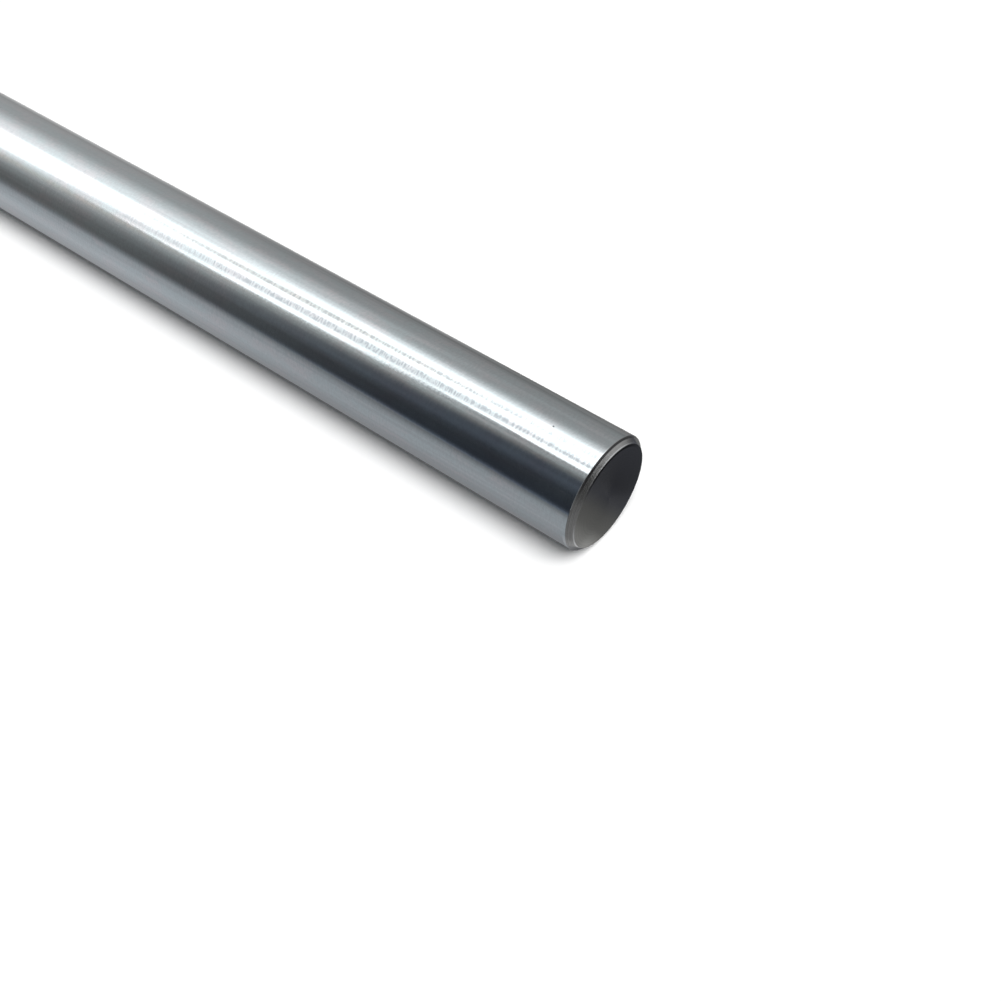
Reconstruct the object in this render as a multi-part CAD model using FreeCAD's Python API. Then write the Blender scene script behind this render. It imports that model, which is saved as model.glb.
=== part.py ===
import FreeCAD, Part
import math
import os

# Titanium round bar, lying on a level surface.
# The bar lies along +X with its middle over the origin, and it touches Z = 0 along its underside.
# All lengths are in millimetres.

# Bar stock
bar_diameter = 20.0
bar_length = 300.0

# Turned ends: faced square, chamfered, then deburred so that no corner is left sharp.
# chamfer_width is taken off the radius, and chamfer_angle is measured from the bar's axis.
chamfer_width = 1.0
chamfer_angle = 45.0
edge_break_radius = 0.12


def section_point(x, r):
    # A point of the half section: x along the bar, r out from its axis
    return FreeCAD.Vector(x, 0, r)


def broken_corner(before, corner, after):
    # The two tangent points and the middle of the arc that takes the sharpness off a corner
    to_before = (before - corner).normalize()
    to_after = (after - corner).normalize()
    half_angle = to_before.getAngle(to_after) / 2
    tangent_length = edge_break_radius / math.tan(half_angle)
    start = corner + to_before * tangent_length
    end = corner + to_after * tangent_length
    bisector = (to_before + to_after).normalize()
    centre = corner + bisector * (edge_break_radius / math.sin(half_angle))
    middle = centre - bisector * edge_break_radius
    return start, middle, end


def half_section():
    # The outline that turns about the bar's axis: one end, the long straight surface, the other end
    bar_radius = bar_diameter / 2
    half_length = bar_length / 2
    face_radius = bar_radius - chamfer_width
    chamfer_length = chamfer_width / math.tan(math.radians(chamfer_angle))

    outline = [
        section_point(half_length, 0),
        section_point(half_length, face_radius),
        section_point(half_length - chamfer_length, bar_radius),
        section_point(-half_length + chamfer_length, bar_radius),
        section_point(-half_length, face_radius),
        section_point(-half_length, 0),
    ]

    edges = []
    drawn_to = outline[0]
    for before, corner, after in zip(outline, outline[1:], outline[2:]):
        start, middle, end = broken_corner(before, corner, after)
        edges.append(Part.LineSegment(drawn_to, start))
        edges.append(Part.Arc(start, middle, end))
        drawn_to = end
    edges.append(Part.LineSegment(drawn_to, outline[-1]))
    edges.append(Part.LineSegment(outline[-1], outline[0]))
    return Part.Wire([edge.toShape() for edge in edges])


def round_bar():
    # The whole bar is one solid of revolution, lifted so that its underside rests at Z = 0
    axis_point = FreeCAD.Vector(0, 0, 0)
    axis_direction = FreeCAD.Vector(1, 0, 0)
    turned = Part.Face(half_section()).revolve(axis_point, axis_direction, 360)
    bar = Part.Solid(turned.Shells[0])
    bar.translate(FreeCAD.Vector(0, 0, bar_diameter / 2))
    return bar


def write_node(name, shape):
    if not shape.isValid() or shape.Volume <= 0:
        raise RuntimeError(name + " is not a sound solid")
    shape.exportStep(os.path.join("parts", name + ".step"))
    print(name, "volume", round(shape.Volume, 3), "mm3, faces", len(shape.Faces))


os.makedirs("parts", exist_ok=True)
write_node("round_bar", round_bar())
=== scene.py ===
import math

import bpy
from mathutils import Matrix, Vector


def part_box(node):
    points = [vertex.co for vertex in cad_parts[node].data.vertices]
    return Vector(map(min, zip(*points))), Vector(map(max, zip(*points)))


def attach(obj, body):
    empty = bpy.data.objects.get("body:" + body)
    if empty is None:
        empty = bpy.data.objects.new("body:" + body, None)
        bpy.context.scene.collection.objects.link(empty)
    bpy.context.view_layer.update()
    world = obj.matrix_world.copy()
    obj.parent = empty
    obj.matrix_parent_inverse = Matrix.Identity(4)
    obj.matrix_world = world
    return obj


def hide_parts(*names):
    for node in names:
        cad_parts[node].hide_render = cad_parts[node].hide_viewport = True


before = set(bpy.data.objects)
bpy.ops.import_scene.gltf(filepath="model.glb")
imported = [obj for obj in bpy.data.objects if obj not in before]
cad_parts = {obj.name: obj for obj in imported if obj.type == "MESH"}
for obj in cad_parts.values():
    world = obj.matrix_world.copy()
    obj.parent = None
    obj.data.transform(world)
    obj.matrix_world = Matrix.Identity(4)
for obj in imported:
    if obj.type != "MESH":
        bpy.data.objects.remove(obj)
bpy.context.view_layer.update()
print("frame loaded")

# The bar's own sizes, read from its CAD node
low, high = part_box("round_bar")
halfLength = (high.x - low.x) / 2
barRadius = (high.z - low.z) / 2
axisHeight = (high.z + low.z) / 2


def mm(value):
    return value / 1000


def hexColour(code):
    # sRGB hex to the linear colour that the shaders take
    parts = [int(code[i:i + 2], 16) / 255 for i in (1, 3, 5)]
    linear = [p / 12.92 if p <= 0.04045 else ((p + 0.055) / 1.055) ** 2.4 for p in parts]
    return (*linear, 1.0)


def addNode(tree, kind, links=None, **settings):
    # links takes input names or numbers, to either a plain value or another node's output
    node = tree.nodes.new(kind)
    for name, value in settings.items():
        setattr(node, name, value)
    for name, value in (links or {}).items():
        if isinstance(value, bpy.types.NodeSocket):
            tree.links.new(value, node.inputs[name])
        else:
            node.inputs[name].default_value = value
    return node


# Camera: a phone close-up from above the near end, looking back along the bar
camera = {
    "position": (215.91, -110.83, 158.26),  # mm
    "heading": 128.14,                      # degrees from +X towards +Y
    "lookDown": 49.4,                       # degrees
    "lens": 46.03,                          # mm
    "sensor": 36.0,                         # mm wide
    "clip": (0.005, 30.0),                  # m, the nearest and furthest that it sees
}

heading, lookDown = math.radians(camera["heading"]), math.radians(camera["lookDown"])
sight = Vector((math.cos(heading) * math.cos(lookDown), math.sin(heading) * math.cos(lookDown),
                -math.sin(lookDown)))
right = Vector((math.sin(heading), -math.cos(heading), 0))
up = right.cross(sight)
cameraData = bpy.data.cameras.new("closeUpCamera")
cameraData.lens = camera["lens"]
cameraData.sensor_width = camera["sensor"]
cameraData.clip_start, cameraData.clip_end = camera["clip"]
cameraObject = bpy.data.objects.new("closeUpCamera", cameraData)
bpy.context.scene.collection.objects.link(cameraObject)
cameraObject.matrix_world = Matrix((
    (right.x, up.x, -sight.x, mm(camera["position"][0])),
    (right.y, up.y, -sight.y, mm(camera["position"][1])),
    (right.z, up.z, -sight.z, mm(camera["position"][2])),
    (0, 0, 0, 1)))
bpy.context.scene.camera = cameraObject
print("camera set")


# Values that both finishes share
noiseRange = (0.3, 0.7)         # what a noise texture mostly gives
roughnessSpread = (0.85, 1.2)   # shares of a finish's roughness in its smoothest and dullest patches
markCore = 0.6                  # share of a mark's half width at full strength, before it fades
acrossMarks = 0.25              # of a full turn, so that reflections are drawn out across the marks

# Titanium alloy, centreless ground: the wheel leaves fine rings round the bar, so a reflection
# stays crisp across the bar and smears along it, and its edges break into short dashes. Drawing and
# racking leave faint lengthwise streaks, and the clear oxide tints the metal a little in patches.
ground = {
    "warm": "#8e8e90",
    "cool": "#888f91",
    "dull": "#83888a",
    "roughness": 0.12,
    "smear": 0.5,           # how far the rings draw a reflection out along the bar
    "ringPitch": 0.34,      # mm; real wheel marks are near 0.05 mm, drawn coarser so that they show
    "ringRun": 0.9,         # mm round the bar before a mark fades
    "ringDepth": 0.008,     # mm
    "streakWidth": 0.7,     # mm
    "streakRun": 60.0,      # mm
    "streakDepth": 0.004,   # mm
    "cloud": 3.2,           # mm round the bar, patches of tint
    "cloudRun": 7.0,        # mm along it
    "tintRange": (0.37, 0.57),      # of the clouds' noise, from warm to cool
    "wearRange": (0.32, 0.14),      # of the rings' noise times the streaks', from clean to dull
    "dashColour": "#74797c",
    "dashCover": 0.9,
    "dashPitch": 0.34,     # mm along the bar, drawn a little coarse so that they show
    "dashLength": 1.5,     # mm round it
    "dashRange": (0.47, 0.55),     # of the dashes' noise, from none to full
    "dashTurn": 90.0,      # degrees that the lines of dashes wind in a metre
    "dashLines": ((125.4, 3.4), (116.2, 2.4)),     # degrees up from +Y at mid-length, half width
    "dashedFrom": (35.0, 85.0),    # mm along the bar from mid-length, where they start and are full
    "rimHighlightColour": "#d4d6d8",
    "rimHighlightCover": 0.4,
    "rimHighlightFrom": (1.6, 1.36),       # mm from each end, where the painted rim highlight starts and is full
    "rimHighlightBelow": (0.05, 0.25),     # shares of the radius below the axis, likewise
    "pitShadeColour": "#26282a",
    "pitPlace": (139.9, -1.18, 19.93),      # mm, one small pit near the end
    "pitRadius": 0.17,      # mm
}


def groundTitanium():
    material = bpy.data.materials.new("groundTitanium")
    material.use_nodes = True
    tree = material.node_tree
    tree.nodes.clear()
    place = addNode(tree, "ShaderNodeTexCoord").outputs["Object"]

    # Each pattern is noise stretched to so many mm along the bar and round it, about the bar's axis
    patterns = {}
    for name, alongBar, roundBar in (("rings", ground["ringPitch"], ground["ringRun"]),
                                     ("streaks", ground["streakRun"], ground["streakWidth"]),
                                     ("dashes", ground["dashPitch"], ground["dashLength"]),
                                     ("clouds", ground["cloudRun"], ground["cloud"])):
        stretched = addNode(tree, "ShaderNodeMapping", {
            "Vector": place, "Location": (0, 0, -axisHeight / mm(roundBar)),
            "Scale": (1 / mm(alongBar), 1 / mm(roundBar), 1 / mm(roundBar))}).outputs["Vector"]
        patterns[name] = addNode(tree, "ShaderNodeTexNoise", {
            "Vector": stretched, "Scale": 1.0, "Detail": 3.0, "Roughness": 0.6}).outputs["Fac"]

    tint = addNode(tree, "ShaderNodeMapRange", {
        "Value": patterns["clouds"], "From Min": ground["tintRange"][0],
        "From Max": ground["tintRange"][1]}).outputs["Result"]
    clean = addNode(tree, "ShaderNodeMix", {
        "Factor": tint, "A": hexColour(ground["warm"]), "B": hexColour(ground["cool"])},
        data_type="RGBA").outputs["Result"]
    wear = addNode(tree, "ShaderNodeMath", {
        0: patterns["rings"], 1: patterns["streaks"]}, operation="MULTIPLY").outputs[0]
    wornShare = addNode(tree, "ShaderNodeMapRange", {
        "Value": wear, "From Min": ground["wearRange"][0],
        "From Max": ground["wearRange"][1]}).outputs["Result"]
    worn = addNode(tree, "ShaderNodeMix", {
        "Factor": wornShare, "A": clean, "B": hexColour(ground["dull"])},
        data_type="RGBA").outputs["Result"]

    # Painted highlight: a pale band on the side next to the chamfer's corner, below the axis only,
    # stands in for that corner's highlight
    apart = addNode(tree, "ShaderNodeSeparateXYZ", {"Vector": place}).outputs
    aboveAxis = addNode(tree, "ShaderNodeMath", {
        0: apart["Z"], 1: axisHeight}, operation="SUBTRACT").outputs[0]
    fromMiddle = addNode(tree, "ShaderNodeMath", {0: apart["X"]}, operation="ABSOLUTE").outputs[0]
    rimStart, rimFull = (halfLength - mm(fromEnd) for fromEnd in ground["rimHighlightFrom"])
    besideCorner = addNode(tree, "ShaderNodeMapRange", {
        "Value": fromMiddle, "From Min": rimStart, "From Max": rimFull,
        "To Max": ground["rimHighlightCover"]}).outputs["Result"]
    lowerStart, lowerFull = (-share * barRadius for share in ground["rimHighlightBelow"])
    lowerSide = addNode(tree, "ShaderNodeMapRange", {
        "Value": aboveAxis, "From Min": lowerStart, "From Max": lowerFull}).outputs["Result"]
    rimHighlight = addNode(tree, "ShaderNodeMath", {
        0: besideCorner, 1: lowerSide}, operation="MULTIPLY").outputs[0]
    surface = addNode(tree, "ShaderNodeMix", {
        "Factor": rimHighlight, "A": worn, "B": hexColour(ground["rimHighlightColour"])},
        data_type="RGBA").outputs["Result"]

    # Painted reflection: lines of darker dashes along the bar, where the strip light's gap and the
    # softbox's seam reflect in the close-up, break those reflections into dashes
    angle = addNode(tree, "ShaderNodeMath", {
        0: aboveAxis, 1: apart["Y"]}, operation="ARCTAN2").outputs[0]
    wound = addNode(tree, "ShaderNodeMath", {
        0: apart["X"], 1: math.radians(ground["dashTurn"]), 2: angle},
        operation="MULTIPLY_ADD").outputs[0]
    dashed = addNode(tree, "ShaderNodeMapRange", {
        "Value": patterns["dashes"], "From Min": ground["dashRange"][0],
        "From Max": ground["dashRange"][1], "To Max": ground["dashCover"]}).outputs["Result"]
    nearEnd = addNode(tree, "ShaderNodeMapRange", {
        "Value": apart["X"], "From Min": mm(ground["dashedFrom"][0]),
        "From Max": mm(ground["dashedFrom"][1])}).outputs["Result"]
    dashed = addNode(tree, "ShaderNodeMath", {
        0: dashed, 1: nearEnd}, operation="MULTIPLY").outputs[0]
    for lineAngle, halfWidth in ground["dashLines"]:
        offLine = addNode(tree, "ShaderNodeMath", {
            0: wound, 1: math.radians(lineAngle)}, operation="SUBTRACT").outputs[0]
        offLine = addNode(tree, "ShaderNodeMath", {0: offLine}, operation="ABSOLUTE").outputs[0]
        onLine = addNode(tree, "ShaderNodeMapRange", {
            "Value": offLine, "From Min": math.radians(halfWidth),
            "From Max": math.radians(halfWidth) * markCore}).outputs["Result"]
        share = addNode(tree, "ShaderNodeMath", {
            0: onLine, 1: dashed}, operation="MULTIPLY").outputs[0]
        surface = addNode(tree, "ShaderNodeMix", {
            "Factor": share, "A": surface, "B": hexColour(ground["dashColour"])},
            data_type="RGBA").outputs["Result"]

    # Painted shade: one small pit is drawn only as a dark spot of colour, with no hollow in the mesh
    pitCentre = tuple(mm(v) for v in ground["pitPlace"])
    pitRadius = mm(ground["pitRadius"])
    fromPit = addNode(tree, "ShaderNodeVectorMath", {
        0: place, 1: pitCentre}, operation="DISTANCE").outputs["Value"]
    pitShade = addNode(tree, "ShaderNodeMapRange", {
        "Value": fromPit, "From Min": pitRadius, "From Max": pitRadius * markCore},
        interpolation_type="SMOOTHSTEP").outputs["Result"]
    colour = addNode(tree, "ShaderNodeMix", {
        "Factor": pitShade, "A": surface, "B": hexColour(ground["pitShadeColour"])},
        data_type="RGBA").outputs["Result"]
    smoothest, dullest = (ground["roughness"] * share for share in roughnessSpread)
    roughness = addNode(tree, "ShaderNodeMapRange", {
        "Value": patterns["clouds"], "From Min": noiseRange[0], "From Max": noiseRange[1],
        "To Min": smoothest, "To Max": dullest}).outputs["Result"]

    ringBump = addNode(tree, "ShaderNodeBump", {
        "Height": patterns["rings"], "Strength": 1.0, "Distance": mm(ground["ringDepth"])})
    streakBump = addNode(tree, "ShaderNodeBump", {
        "Height": patterns["streaks"], "Strength": 1.0, "Distance": mm(ground["streakDepth"]),
        "Normal": ringBump.outputs["Normal"]})
    tangent = addNode(tree, "ShaderNodeTangent", direction_type="RADIAL", axis="X").outputs["Tangent"]
    shader = addNode(tree, "ShaderNodeBsdfPrincipled", {
        "Base Color": colour, "Metallic": 1.0, "Roughness": roughness,
        "Anisotropic": ground["smear"], "Anisotropic Rotation": acrossMarks,
        "Normal": streakBump.outputs["Normal"], "Tangent": tangent})
    addNode(tree, "ShaderNodeOutputMaterial", {"Surface": shader.outputs["BSDF"]})
    return material


# The same alloy faced and chamfered on a lathe: concentric tool marks that throw a reflection out
# from the centre as a fan, and a duller and more neutral tone than the ground side. A painted highlight
# runs along the chamfer's inner corner, and towards the top painted dark reflections run by its corners.
faced = {
    "bright": "#a0a0a0",
    "dull": "#8a8b8b",
    "roughness": 0.17,
    "fan": 0.8,             # how far the tool marks draw a reflection out
    "markPitch": 0.12,      # mm, finer marks inside each turn of the feed
    "markDepth": 0.0006,    # mm
    "speckle": 0.2,         # mm, grain left by deburring
    "speckleShare": 0.35,   # of the grain, the rest being tool marks
    "tintRange": (0.35, 0.65),      # of the grain, from dull to bright
    # Where the lines show, from none to full: height above the axis over the distance from it
    "upperSide": (0.55, 0.9),
    "lowerSide": (0.2, -0.1),
    # The lines themselves: mm from the axis, half width in mm, colour and cover
    "cornerHighlight": (9.1, 0.11, "#e4e6e8", 0.6),
    "innerDarkReflection": (8.83, 0.3, "#08090a", 1.0),
    "outerDarkReflection": (9.8, 0.18, "#101215", 0.85),
}


def facedTitanium():
    material = bpy.data.materials.new("facedTitanium")
    material.use_nodes = True
    tree = material.node_tree
    tree.nodes.clear()
    place = addNode(tree, "ShaderNodeTexCoord").outputs["Object"]
    centred = addNode(tree, "ShaderNodeVectorMath", {
        0: place, 1: (0, 0, axisHeight)}, operation="SUBTRACT").outputs["Vector"]
    flat = addNode(tree, "ShaderNodeVectorMath", {
        0: centred, 1: (0, 1, 1)}, operation="MULTIPLY").outputs["Vector"]
    radius = addNode(tree, "ShaderNodeVectorMath", {0: flat}, operation="LENGTH").outputs["Value"]
    turns = addNode(tree, "ShaderNodeMath", {
        0: radius, 1: 1 / mm(faced["markPitch"])}, operation="MULTIPLY").outputs[0]
    marks = addNode(tree, "ShaderNodeTexNoise", {
        "W": turns, "Scale": 1.0, "Detail": 2.0}, noise_dimensions="1D").outputs["Fac"]
    speckle = addNode(tree, "ShaderNodeTexNoise", {
        "Vector": centred, "Scale": 1 / mm(faced["speckle"]), "Detail": 2.0}).outputs["Fac"]

    grain = addNode(tree, "ShaderNodeMix", {
        "Factor": faced["speckleShare"], "A": marks, "B": speckle},
        data_type="FLOAT").outputs["Result"]
    tint = addNode(tree, "ShaderNodeMapRange", {
        "Value": grain, "From Min": faced["tintRange"][0],
        "From Max": faced["tintRange"][1]}).outputs["Result"]
    colour = addNode(tree, "ShaderNodeMix", {
        "Factor": tint, "A": hexColour(faced["dull"]), "B": hexColour(faced["bright"])},
        data_type="RGBA").outputs["Result"]

    # Painted highlight: a bright line along the chamfer's inner corner, above and below. Painted dark
    # reflections, towards the top only: one just inside that corner and one near the outer corner
    outwards = addNode(tree, "ShaderNodeVectorMath", {
        0: flat}, operation="NORMALIZE").outputs["Vector"]
    height = addNode(tree, "ShaderNodeSeparateXYZ", {"Vector": outwards}).outputs["Z"]
    upperSide = addNode(tree, "ShaderNodeMapRange", {
        "Value": height, "From Min": faced["upperSide"][0],
        "From Max": faced["upperSide"][1]}).outputs["Result"]
    lowerSide = addNode(tree, "ShaderNodeMapRange", {
        "Value": height, "From Min": faced["lowerSide"][0],
        "From Max": faced["lowerSide"][1]}).outputs["Result"]
    eitherSide = addNode(tree, "ShaderNodeMath", {
        0: upperSide, 1: lowerSide}, operation="MAXIMUM").outputs[0]
    for line, side in (("cornerHighlight", eitherSide), ("innerDarkReflection", upperSide), ("outerDarkReflection", upperSide)):
        lineRadius, halfWidth, lineColour, cover = faced[line]
        offLine = addNode(tree, "ShaderNodeMath", {
            0: radius, 1: mm(lineRadius)}, operation="SUBTRACT").outputs[0]
        offLine = addNode(tree, "ShaderNodeMath", {0: offLine}, operation="ABSOLUTE").outputs[0]
        onLine = addNode(tree, "ShaderNodeMapRange", {
            "Value": offLine, "From Min": mm(halfWidth), "From Max": mm(halfWidth) * markCore,
            "To Max": cover}).outputs["Result"]
        onLine = addNode(tree, "ShaderNodeMath", {0: onLine, 1: side}, operation="MULTIPLY").outputs[0]
        colour = addNode(tree, "ShaderNodeMix", {
            "Factor": onLine, "A": colour, "B": hexColour(lineColour)},
            data_type="RGBA").outputs["Result"]

    smoothest, dullest = (faced["roughness"] * share for share in roughnessSpread)
    roughness = addNode(tree, "ShaderNodeMapRange", {
        "Value": speckle, "From Min": noiseRange[0], "From Max": noiseRange[1],
        "To Min": smoothest, "To Max": dullest}).outputs["Result"]
    markBump = addNode(tree, "ShaderNodeBump", {
        "Height": marks, "Strength": 1.0, "Distance": mm(faced["markDepth"])}).outputs["Normal"]
    tangent = addNode(tree, "ShaderNodeTangent", direction_type="RADIAL", axis="X").outputs["Tangent"]
    shader = addNode(tree, "ShaderNodeBsdfPrincipled", {
        "Base Color": colour, "Metallic": 1.0, "Roughness": roughness,
        "Anisotropic": faced["fan"], "Anisotropic Rotation": acrossMarks,
        "Normal": markBump, "Tangent": tangent})
    addNode(tree, "ShaderNodeOutputMaterial", {"Surface": shader.outputs["BSDF"]})
    return material


sideFinish = groundTitanium()
endFinish = facedTitanium()
print("materials made")


# The bar: half its section is drawn as a line of stations, and the lathe tree turns it round
bar = {
    "chamfer": 1.0,         # mm along and across, a 45 degree chamfer
    "edgeBreak": 0.12,      # mm, radius left by deburring
    "edgeSteps": 4,         # facets across each rounded edge
    "support": 0.04,        # mm, rings beside each rounded edge that keep the flats flat
    "sideRing": 6.0,        # mm between rings along the side
    "feedPerTurn": 0.25,    # mm the facing tool moves in at each turn
    "toolNose": 6.0,        # mm, nose radius of the facing tool
    "markSteps": 4,         # stations to one turn of the feed
    "pipRadius": 0.4,       # mm, where the tool ran off the centre
    "pipDepth": 0.01,       # mm
    "pipStations": (0, 0.5, 0.85),      # shares of the pip's radius
    "deburrWander": 0.03,   # mm that the filed corners wander along the bar
    "deburrRun": 0.9,       # mm round the bar between wanders
    "deburrSeed": 4.0,
    "around": 256,          # facets round the bar
    "mergeWithin": 0.0001,  # mm, closes the seam and both centres
}


def roundedCorner(before, corner, after):
    # Points of the small arc that breaks a corner, with a support station on each side
    toBefore, toAfter = (before - corner).normalized(), (after - corner).normalized()
    halfAngle = toBefore.angle(toAfter) / 2
    radius = mm(bar["edgeBreak"])
    bisector = (toBefore + toAfter).normalized()
    centre = corner + bisector * (radius / math.sin(halfAngle))
    tangent = radius / math.tan(halfAngle)
    start, end = corner + toBefore * tangent, corner + toAfter * tangent
    sweep = math.pi - 2 * halfAngle
    spoke, lastSpoke = start - centre, end - centre
    side = 1 if spoke.x * lastSpoke.y - spoke.y * lastSpoke.x > 0 else -1
    arc = []
    for step in range(bar["edgeSteps"] + 1):
        turn = side * sweep * step / bar["edgeSteps"]
        arc.append(centre + Vector((spoke.x * math.cos(turn) - spoke.y * math.sin(turn),
                                    spoke.x * math.sin(turn) + spoke.y * math.cos(turn))))
    support = mm(bar["support"])
    return [start + toBefore * support, *arc, end + toAfter * support]


def facedStations(faceRadius):
    # The end face from its centre out: a shallow pip, then the arc that each turn of the feed leaves
    pipRadius, feed = mm(bar["pipRadius"]), mm(bar["feedPerTurn"])
    pipBottom = halfLength - mm(bar["pipDepth"])
    stations = [Vector((pipBottom, pipRadius * share)) for share in bar["pipStations"]]
    markDepth = feed * feed / (8 * mm(bar["toolNose"]))
    for step in range(int((faceRadius - pipRadius) / feed * bar["markSteps"])):
        turn = step / bar["markSteps"]
        across = 2 * (turn % 1) - 1
        cutTo = halfLength - markDepth * (1 - across * across)
        stations.append(Vector((cutTo, pipRadius + turn * feed)))
    return stations


def halfSection():
    # (x along the bar, r from its axis) with each station's share of the deburring's wander, from
    # the front centre out, along the side and back in
    faceRadius = barRadius - mm(bar["chamfer"])
    chamferStart = halfLength - mm(bar["chamfer"])
    corners = [Vector((halfLength, 0)), Vector((halfLength, faceRadius)),
               Vector((chamferStart, barRadius)), Vector((-chamferStart, barRadius)),
               Vector((-halfLength, faceRadius)), Vector((-halfLength, 0))]
    arcs = [roundedCorner(*corners[i:i + 3]) for i in range(len(corners) - 2)]
    front = facedStations(arcs[0][0].y)
    rear = [Vector((-p.x, p.y)) for p in reversed(front)]
    sideStart, sideEnd = arcs[1][-1].x, arcs[2][0].x
    rings = round((sideStart - sideEnd) / mm(bar["sideRing"]))
    side = [Vector((sideStart + (sideEnd - sideStart) * i / rings, barRadius))
            for i in range(1, rings)]

    stations = []
    for run, wander in ((front, 0), (arcs[0], 0), (arcs[1], 1), (side, 0), (arcs[2], 1),
                        (arcs[3], 0), (rear, 0)):
        stations += [(p, wander if 0 < i < len(run) - 1 else 0) for i, p in enumerate(run)]
    return stations


def latheTree():
    # Turns a line of stations round the bar's axis, roughens its filed corners and gives its finishes
    tree = bpy.data.node_groups.new("latheTurning", "GeometryNodeTree")
    tree.interface.new_socket("Geometry", in_out="INPUT", socket_type="NodeSocketGeometry")
    for name, kind in (("Stations", "NodeSocketInt"), ("Columns", "NodeSocketInt"),
                       ("Axis height", "NodeSocketFloat"), ("Turned from", "NodeSocketFloat"),
                       ("Wander", "NodeSocketFloat"), ("Wanders per metre", "NodeSocketFloat"),
                       ("Seed", "NodeSocketFloat"), ("Merge within", "NodeSocketFloat"),
                       ("Side finish", "NodeSocketMaterial"), ("End finish", "NodeSocketMaterial")):
        tree.interface.new_socket(name, in_out="INPUT", socket_type=kind)
    tree.interface.new_socket("Geometry", in_out="OUTPUT", socket_type="NodeSocketGeometry")
    sizes = addNode(tree, "NodeGroupInput").outputs

    # A grid a unit wide, with a row for each station and a column for each step round the bar
    grid = addNode(tree, "GeometryNodeMeshGrid", {
        "Vertices X": sizes["Stations"], "Vertices Y": sizes["Columns"]}).outputs["Mesh"]
    position = addNode(tree, "GeometryNodeInputPosition").outputs["Position"]
    gridPlace = addNode(tree, "ShaderNodeSeparateXYZ", {"Vector": position}).outputs
    lastStation = addNode(tree, "ShaderNodeMath", {
        0: sizes["Stations"], 1: 1}, operation="SUBTRACT").outputs[0]
    fromFront = addNode(tree, "ShaderNodeMath", {0: gridPlace["X"], 1: 0.5}, operation="ADD").outputs[0]
    station = addNode(tree, "ShaderNodeMath", {
        0: fromFront, 1: lastStation, 2: 0.5}, operation="MULTIPLY_ADD").outputs[0]
    station = addNode(tree, "ShaderNodeMath", {0: station}, operation="FLOOR").outputs[0]
    angle = addNode(tree, "ShaderNodeMath", {
        0: gridPlace["Y"], 1: 2 * math.pi}, operation="MULTIPLY").outputs[0]

    outline = addNode(tree, "GeometryNodeSampleIndex", {
        "Geometry": sizes["Geometry"], "Value": position, "Index": station},
        data_type="FLOAT_VECTOR", domain="POINT").outputs["Value"]
    wanderShare = addNode(tree, "GeometryNodeInputNamedAttribute", {
        "Name": "wander"}, data_type="FLOAT").outputs["Attribute"]
    wanderShare = addNode(tree, "GeometryNodeSampleIndex", {
        "Geometry": sizes["Geometry"], "Value": wanderShare, "Index": station},
        data_type="FLOAT", domain="POINT").outputs["Value"]
    turned = addNode(tree, "ShaderNodeVectorRotate", {
        "Vector": outline, "Angle": angle}, rotation_type="X_AXIS").outputs["Vector"]

    # Filed corners wander a little along the bar, always away from its end
    chatter = addNode(tree, "ShaderNodeTexNoise", {
        "Vector": turned, "W": sizes["Seed"], "Scale": sizes["Wanders per metre"], "Detail": 1.0},
        noise_dimensions="4D").outputs["Fac"]
    wander = addNode(tree, "ShaderNodeMath", {
        0: chatter, 1: wanderShare}, operation="MULTIPLY").outputs[0]
    wander = addNode(tree, "ShaderNodeMath", {
        0: wander, 1: sizes["Wander"]}, operation="MULTIPLY").outputs[0]
    along = addNode(tree, "ShaderNodeSeparateXYZ", {"Vector": outline}).outputs["X"]
    towardsEnd = addNode(tree, "ShaderNodeMath", {0: along}, operation="SIGN").outputs[0]
    back = addNode(tree, "ShaderNodeMath", {
        0: wander, 1: towardsEnd}, operation="MULTIPLY").outputs[0]
    back = addNode(tree, "ShaderNodeMath", {0: back, 1: -1}, operation="MULTIPLY").outputs[0]
    shift = addNode(tree, "ShaderNodeCombineXYZ", {
        "X": back, "Z": sizes["Axis height"]}).outputs["Vector"]
    shaped = addNode(tree, "GeometryNodeSetPosition", {
        "Geometry": grid, "Position": turned, "Offset": shift}).outputs["Geometry"]
    closed = addNode(tree, "GeometryNodeMergeByDistance", {
        "Geometry": shaped, "Distance": sizes["Merge within"]}).outputs["Geometry"]
    smooth = addNode(tree, "GeometryNodeSetShadeSmooth", {
        "Geometry": closed, "Shade Smooth": True}).outputs["Geometry"]

    # The ends and chamfers are turned; everything between them is ground
    alongBar = addNode(tree, "ShaderNodeSeparateXYZ", {"Vector": position}).outputs["X"]
    fromMiddle = addNode(tree, "ShaderNodeMath", {0: alongBar}, operation="ABSOLUTE").outputs[0]
    onTurned = addNode(tree, "FunctionNodeCompare", {
        "A": fromMiddle, "B": sizes["Turned from"]},
        data_type="FLOAT", operation="GREATER_THAN").outputs["Result"]
    whole = addNode(tree, "GeometryNodeRealizeInstances", {"Geometry": smooth}).outputs["Geometry"]
    side = addNode(tree, "GeometryNodeSetMaterial", {
        "Geometry": whole, "Material": sizes["Side finish"]}).outputs["Geometry"]
    ends = addNode(tree, "GeometryNodeSetMaterial", {
        "Geometry": side, "Selection": onTurned, "Material": sizes["End finish"]}).outputs["Geometry"]
    addNode(tree, "NodeGroupOutput", {"Geometry": ends})
    return tree


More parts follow.
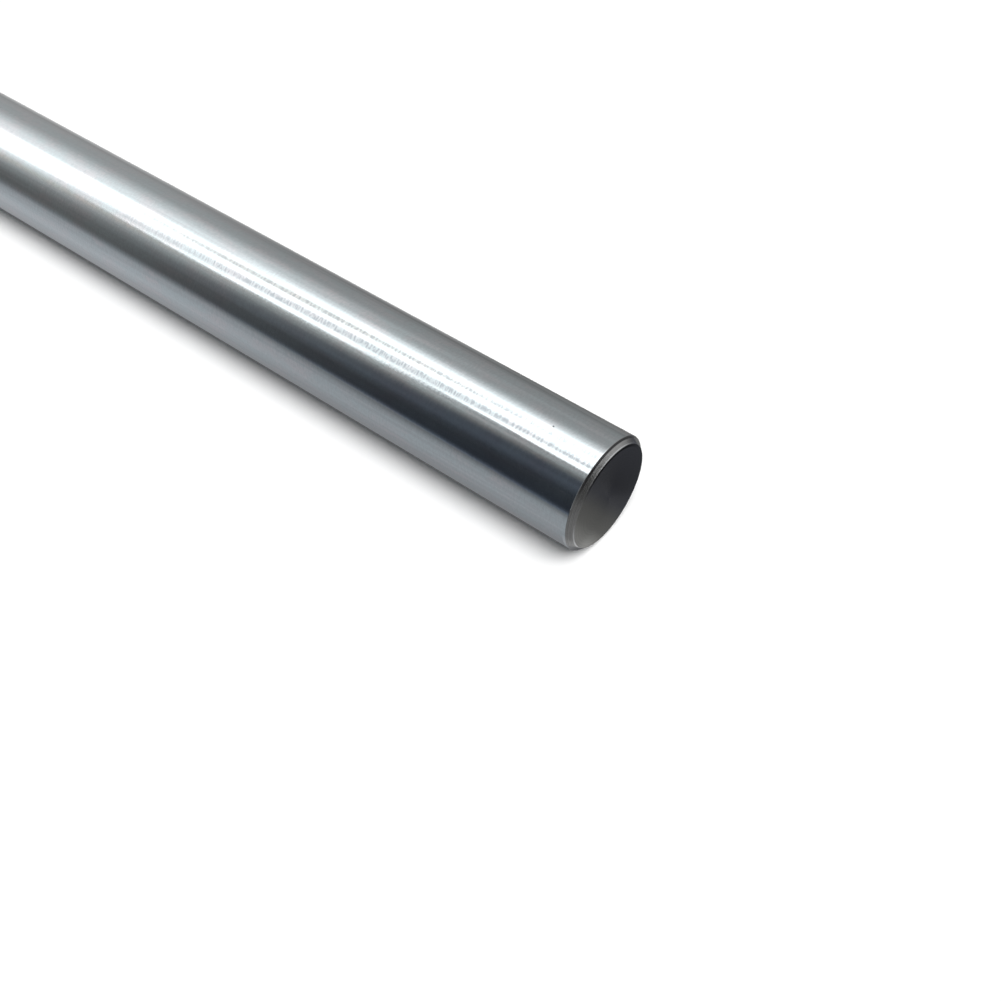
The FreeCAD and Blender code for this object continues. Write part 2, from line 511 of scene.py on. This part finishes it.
def turnedBar():
    stations = halfSection()
    line = bpy.data.meshes.new("barOutline")
    edges = [(i, i + 1) for i in range(len(stations) - 1)]
    line.from_pydata([(p.x, 0, p.y) for p, _ in stations], edges, [])
    wanderShares = line.attributes.new("wander", "FLOAT", "POINT")
    wanderShares.data.foreach_set("value", [share for _, share in stations])
    lathe = bpy.data.objects.new("barOutline", line)
    bpy.context.scene.collection.objects.link(lathe)
    modifier = lathe.modifiers.new("lathe", "NODES")
    modifier.node_group = latheTree()
    values = {
        "Stations": len(stations), "Columns": bar["around"] + 1, "Axis height": axisHeight,
        "Turned from": halfLength - mm(bar["chamfer"]), "Wander": mm(bar["deburrWander"]),
        "Wanders per metre": 1 / mm(bar["deburrRun"]), "Seed": bar["deburrSeed"],
        "Merge within": mm(bar["mergeWithin"]), "Side finish": sideFinish, "End finish": endFinish}
    for item in modifier.node_group.interface.items_tree:
        if item.in_out == "INPUT" and item.name in values:
            modifier[item.identifier] = values[item.name]
    bpy.context.view_layer.update()
    evaluated = lathe.evaluated_get(bpy.context.evaluated_depsgraph_get())
    mesh = bpy.data.meshes.new_from_object(evaluated)
    mesh.name = "turnedBar"
    piece = bpy.data.objects.new("turnedBar", mesh)
    bpy.context.scene.collection.objects.link(piece)
    bpy.data.objects.remove(lathe)
    bpy.data.meshes.remove(line)
    return piece


barPiece = turnedBar()
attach(barPiece, "root")
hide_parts("round_bar")
print("bar turned:", len(barPiece.data.polygons), "faces")


# Studio: white floor and surroundings, soft light from overhead for the shadow, and cards that only
# reflections see, set round the bar as a photographer sets softboxes and flags
studio = {
    "floorSize": 40.0,          # m
    "paper": "#f7f7f7",
    "walls": "#ffffff",
    "fill": 0.1,                # surroundings' light on matt surfaces
    "keyStrength": 3.25,        # W/m2
    "keySize": 38.0,            # degrees
    "wideStrength": 0.4,        # W/m2
    "wideSize": 90.0,           # degrees
    "sunLean": (11.5, 24.0),    # degrees that both lamps lean, to the camera's side and off the end
}


def whiteFloor():
    mesh = bpy.data.meshes.new("floor")
    half = studio["floorSize"] / 2
    corners = [(-half, -half, 0), (half, -half, 0), (half, half, 0), (-half, half, 0)]
    mesh.from_pydata(corners, [], [(0, 1, 2, 3)])
    material = bpy.data.materials.new("whitePaper")
    material.use_nodes = True
    shader = material.node_tree.nodes["Principled BSDF"]
    shader.inputs["Base Color"].default_value = hexColour(studio["paper"])
    shader.inputs["Roughness"].default_value = 1.0
    shader.inputs["Specular IOR Level"].default_value = 0.0
    mesh.materials.append(material)
    floor = bpy.data.objects.new("floor", mesh)
    bpy.context.scene.collection.objects.link(floor)


def sunLamp(name, strength, size):
    data = bpy.data.lights.new(name, "SUN")
    data.energy = strength
    data.angle = math.radians(size)
    lamp = bpy.data.objects.new(name, data)
    lamp.rotation_euler = (*(math.radians(lean) for lean in studio["sunLean"]), 0)
    lamp.visible_glossy = False
    bpy.context.scene.collection.objects.link(lamp)


def surroundings():
    world = bpy.data.worlds.new("whiteStudio")
    bpy.context.scene.world = world
    world.use_nodes = True
    tree = world.node_tree
    tree.nodes.clear()
    ray = addNode(tree, "ShaderNodeLightPath").outputs
    seen = addNode(tree, "ShaderNodeMath", {
        0: ray["Is Camera Ray"], 1: ray["Is Glossy Ray"]}, operation="MAXIMUM").outputs[0]
    seen = addNode(tree, "ShaderNodeMath", {
        0: seen, 1: ray["Is Transmission Ray"]}, operation="MAXIMUM").outputs[0]
    strength = addNode(tree, "ShaderNodeMapRange", {
        "Value": seen, "To Min": studio["fill"], "To Max": 1.0}).outputs["Result"]
    light = addNode(tree, "ShaderNodeBackground", {
        "Color": hexColour(studio["walls"]), "Strength": strength}).outputs["Background"]
    addNode(tree, "ShaderNodeOutputWorld", {"Surface": light})


def reflectionCard(name, corners, towards, near, far=None, fade=(0, 1)):
    # A card that only reflections see. near and far list its tones, each as mm measured in the
    # direction towards, colour and strength. Over fade, two places in mm along the bar, the card
    # changes from its near tones to its far ones
    mesh = bpy.data.meshes.new(name)
    mesh.from_pydata([tuple(mm(v) for v in c) for c in corners], [], [tuple(range(len(corners)))])
    material = bpy.data.materials.new(name)
    material.use_nodes = True
    tree = material.node_tree
    tree.nodes.clear()
    place = addNode(tree, "ShaderNodeTexCoord").outputs["Object"]
    across = addNode(tree, "ShaderNodeVectorMath", {
        0: place, 1: towards}, operation="DOT_PRODUCT").outputs["Value"]
    peak = max(strength for _, _, strength in near + (far or []))

    tones = []
    for ramp in (near, far or near):
        first, last = ramp[0][0], ramp[-1][0]
        share = addNode(tree, "ShaderNodeMapRange", {
            "Value": across, "From Min": mm(first), "From Max": mm(last)}).outputs["Result"]
        node = addNode(tree, "ShaderNodeValToRGB", {"Fac": share})
        stops = node.color_ramp.elements
        stops[1].position = (ramp[1][0] - first) / (last - first)
        for at, _, _ in ramp[2:]:
            stops.new((at - first) / (last - first))
        for stop, (_, colour, strength) in zip(stops, ramp):
            stop.color = tuple(c * strength / peak for c in hexColour(colour)[:3]) + (1.0,)
        tones.append(node.outputs["Color"])

    alongBar = addNode(tree, "ShaderNodeSeparateXYZ", {"Vector": place}).outputs["X"]
    farShare = addNode(tree, "ShaderNodeMapRange", {
        "Value": alongBar, "From Min": mm(fade[0]), "From Max": mm(fade[1])},
        interpolation_type="SMOOTHSTEP").outputs["Result"]
    colour = addNode(tree, "ShaderNodeMix", {
        "Factor": farShare, "A": tones[0], "B": tones[1]}, data_type="RGBA").outputs["Result"]
    glow = addNode(tree, "ShaderNodeEmission", {"Color": colour, "Strength": peak}).outputs["Emission"]
    addNode(tree, "ShaderNodeOutputMaterial", {"Surface": glow})
    mesh.materials.append(material)
    card = bpy.data.objects.new(name, mesh)
    bpy.context.scene.collection.objects.link(card)
    card.visible_camera = False
    card.visible_diffuse = False
    card.visible_transmission = False
    card.visible_shadow = False


def atHeight(outline, height):
    # A level card's corners from its outline
    return [(x, y, height) for x, y in outline]


def oblong(corner, opposite, height):
    # A level card's corners from two opposite ones
    (left, front), (right, back) = corner, opposite
    return atHeight([(left, front), (right, front), (right, back), (left, back)], height)


def standing(start, end, height):
    # An upright card's corners from the ends of its foot
    return [(*start, 0), (*end, 0), (*end, height), (*start, height)]


whiteFloor()
surroundings()
sunLamp("overheadLight", studio["keyStrength"], studio["keySize"])
sunLamp("wideLight", studio["wideStrength"], studio["wideSize"])

white, cool, warm = "#ffffff", "#f8faff", "#fffbf4"
blue, violet, ivory = "#d5e4ff", "#ebefff", "#fffffb"

# Where the cards hang, lie and stand, in mm
cards = {
    "softboxHeight": 500,       # the overhead cards are a little apart, the softbox highest
    "ceilingHeight": 499,
    "stripHeight": 498,
    "overheadReach": 2500,      # x either way
    "stripFrom": 1500,          # x of the strip light's near end
    "pastFarEnd": -1500,        # x, well past the bar's far end
    "nearEnd": 150,             # x of the end in view
    "offEnd": 150.05,           # x just clear of it
    "front": 420,               # x of the card before that end
    "frontFrom": -500,          # y
    "back": 220,                # y of the card behind the bar
    "backFrom": 12,             # y
    "backTablesMeet": 75,       # x
    "cameraSideFoot": ((150, -57), (-1500, -552)),      # x and y
    "cameraSideHeight": 178,
    "floorCardHeight": 0.1,     # the cards on the floor are a little apart too
    "frontTableHeight": 0.15,
    "backTableHeight": 0.2,
}

# Overhead softbox, feathered away from the camera, and more softly towards the bar's far end
reach = cards["overheadReach"]
reflectionCard("overheadSoftbox",
               oblong((-reach, -1200), (reach, 1100), cards["softboxHeight"]), (-0.2, 1, 0),
               [(186, white, 5.0), (215, white, 4.0), (245, white, 3.1), (270, white, 2.75),
                (298, white, 2.35), (366, white, 1.45), (426, white, 1.15), (640, white, 0.95)],
               [(140, white, 5.0), (160, white, 3.5), (185, white, 3.0), (215, white, 2.85),
                (250, white, 2.95), (286, white, 2.75), (340, white, 2.35), (390, white, 2.1),
                (526, white, 1.7), (640, white, 1.3), (900, white, 1.0)], (-230, -370))

# A strip light beside it, with a duller gap between the two, under a dim ceiling, and a warm seam
# in the softbox. The outlines wander as such fittings' reflections do in bar that is not quite
# straight, and the strip, its gap and the ceiling feather out to the far end
turned, feather = (-0.42, 1, 0), (-430, -590)
feathered = [(-900, white, 1.0), (-250, warm, 1.25), (-177, warm, 1.6), (-90, white, 2.35),
             (-30, white, 3.0), (0, white, 4.2)]
stripFrom = cards["stripFrom"]
gapTop = [(stripFrom, -55), (-59, -53), (-85, -57), (-102, -58), (-131, -60), (-161, -60),
          (-193, -66), (-225, -78), (-285, -115), (-342, -145), (-413, -190), (-560, -260)]
gapFoot = [(stripFrom, -105), (-63, -104), (-108, -131), (-143, -161), (-178, -185), (-213, -197),
           (-249, -203), (-306, -216), (-389, -290), (-468, -325), (-560, -360)]
stripFoot = [(stripFrom, -188), (-72, -188), (-125, -188), (-155, -202), (-190, -228), (-233, -270),
             (-279, -300), (-344, -325), (-422, -360), (-504, -388), (-560, -400)]
farCorner = (-reach, -1100)
ceilingOutline = gapFoot + [farCorner, (-reach, -3000), (stripFrom, -3000)]
reflectionCard("dimCeiling", atHeight(ceilingOutline, cards["ceilingHeight"]),
               turned, [(-900, white, 0.75), (0, white, 0.85)], feathered, feather)
reflectionCard("farCeiling",
               atHeight([gapTop[-1], (-reach, -1075), farCorner, gapFoot[-1]], cards["ceilingHeight"]),
               turned, feathered)
reflectionCard("stripLight", atHeight(gapFoot + stripFoot[::-1], cards["stripHeight"]),
               turned, [(-900, white, 5.0), (0, white, 5.0)], feathered, feather)
reflectionCard("stripGap", atHeight(gapTop + gapFoot[::-1], cards["stripHeight"]),
               turned, [(-900, white, 2.95), (0, white, 2.95)], feathered, feather)
reflectionCard("softboxSeam",
               atHeight([(-60, 86), (-260, -31), (-420, -50), (-260, 52)], cards["stripHeight"]),
               turned, [(-900, warm, 2.8), (200, warm, 2.8)])

# The camera's side: a dark card standing on the floor, a little turned, feathered upwards and paler
# to the far end, and the floor in front of it, dimmer close to the bar and in glare further off
cardStart, cardEnd = cards["cameraSideFoot"]
reflectionCard("cameraSideCard", standing(cardStart, cardEnd, cards["cameraSideHeight"]), (0, 0, 1),
               [(0, blue, 0.55), (3, blue, 0.38), (5, blue, 0.24), (7, blue, 0.16), (10, blue, 0.11),
                (31, blue, 0.08), (44, blue, 0.11), (52, blue, 0.19), (62, blue, 0.25), (76, blue, 0.21),
                (90, blue, 0.22), (110, white, 0.39), (126, white, 0.57),
                (146, white, 0.92), (178, white, 1.08)],
               [(0, white, 0.42), (8, white, 0.36), (30, white, 0.35), (50, white, 0.4),
                (71, white, 0.52), (100, white, 0.76), (125, white, 1.05), (178, warm, 1.55)],
               (100, -100))
# Painted shadow: this card's dim tones close to the bar stand in for the bar's shadow on the floor, as
# reflections see it
reflectionCard("floorCard",
               atHeight([(cards["offEnd"], 13), (cards["pastFarEnd"], 13), cardEnd,
                         (cards["offEnd"], cardStart[1])], cards["floorCardHeight"]), (0, -1, 0),
               [(-12, cool, 0.12), (-2, cool, 0.08), (2, cool, 0.1), (6, cool, 0.2), (9, cool, 0.5),
                (13, cool, 0.8), (18, cool, 1.05), (30, cool, 1.02), (38, cool, 0.92),
                (46, cool, 0.77), (54, cool, 0.62), (64, cool, 0.5), (90, cool, 0.5)],
               [(-12, cool, 0.12), (-2, cool, 0.08), (2, cool, 0.1), (6, cool, 0.2),
                (9, cool, 0.6), (13, cool, 0.95), (18, cool, 1.3), (30, cool, 1.2),
                (42, cool, 1.06), (50, cool, 0.97), (58, cool, 0.85), (66, cool, 0.74),
                (76, cool, 0.6), (90, cool, 0.5), (120, cool, 0.44)], (100, 30))

# Behind the bar: two grey cards lying on the floor and one standing at their back. backDark holds
# the tones where the two that lie meet
# Painted shadow: both cards that lie are darkest close to the bar, where its shadow falls on the floor,
# as reflections see it
backDark = [(12, white, 0.2), (28, white, 0.5), (38, white, 0.52), (48, white, 0.38),
            (85, white, 0.36), (150, white, 0.4), (220, white, 0.5)]
reflectionCard("backTable",
               oblong((cards["backTablesMeet"], cards["backFrom"]), (cards["nearEnd"], cards["back"]),
                      cards["backTableHeight"]), (0, 1, 0),
               [(12, white, 0.2), (30, white, 0.25), (50, white, 0.36), (75, white, 0.48),
                (220, white, 0.62)], backDark, (112, 90))
reflectionCard("farBackTable",
               oblong((cards["pastFarEnd"], cards["backFrom"]), (cards["backTablesMeet"], cards["back"]),
                      cards["backTableHeight"]), (0, 1, 0), backDark,
               [(12, white, 0.12), (28, white, 0.6), (38, white, 0.7), (48, white, 0.62),
                (60, white, 0.58), (85, white, 0.5), (150, white, 0.56), (220, white, 0.68)],
               (75, -25))
reflectionCard("backCard",
               standing((cards["pastFarEnd"], cards["back"]), (300, cards["back"]), 150), (0, 0, 1),
               [(0, white, 0.5), (12, white, 0.54), (22, white, 0.6), (38, white, 0.68),
                (92, white, 0.82), (150, white, 1.0)],
               [(0, white, 0.68), (22, white, 0.71), (38, white, 0.77), (92, white, 0.9),
                (150, white, 1.05)], (-80, -160))

# Before the faced end: a table that falls dark away from the camera, and a grey card beyond it
reflectionCard("frontTable",
               oblong((cards["offEnd"], cards["frontFrom"]), (cards["front"], 300),
                      cards["frontTableHeight"]), (0, 1, 0),
               [(-300, white, 0.3), (-55, white, 0.25), (-14, white, 0.5), (-8, white, 0.62),
                (-3, ivory, 0.6), (0, ivory, 0.24), (3, ivory, 0.19), (6.5, violet, 0.1),
                (45, violet, 0.16), (120, white, 0.35)],
               [(-300, white, 0.3), (-55, white, 0.25), (-14, white, 0.4), (-8, white, 0.44),
                (-3, ivory, 0.42), (0, ivory, 0.22), (3, ivory, 0.18), (6.5, violet, 0.1),
                (10, violet, 0.065), (45, violet, 0.16), (120, white, 0.35)], (151.4, 152.8))
reflectionCard("frontCard",
               standing((cards["front"], cards["frontFrom"]), (cards["front"], 500), 300), (0, 1, 0),
               [(-300, white, 0.3), (-103, white, 0.07), (-25, white, 0.13), (78, white, 0.36),
                (202, white, 0.8)])
print("studio lit")

bpy.context.scene.view_settings.view_transform = "Standard"
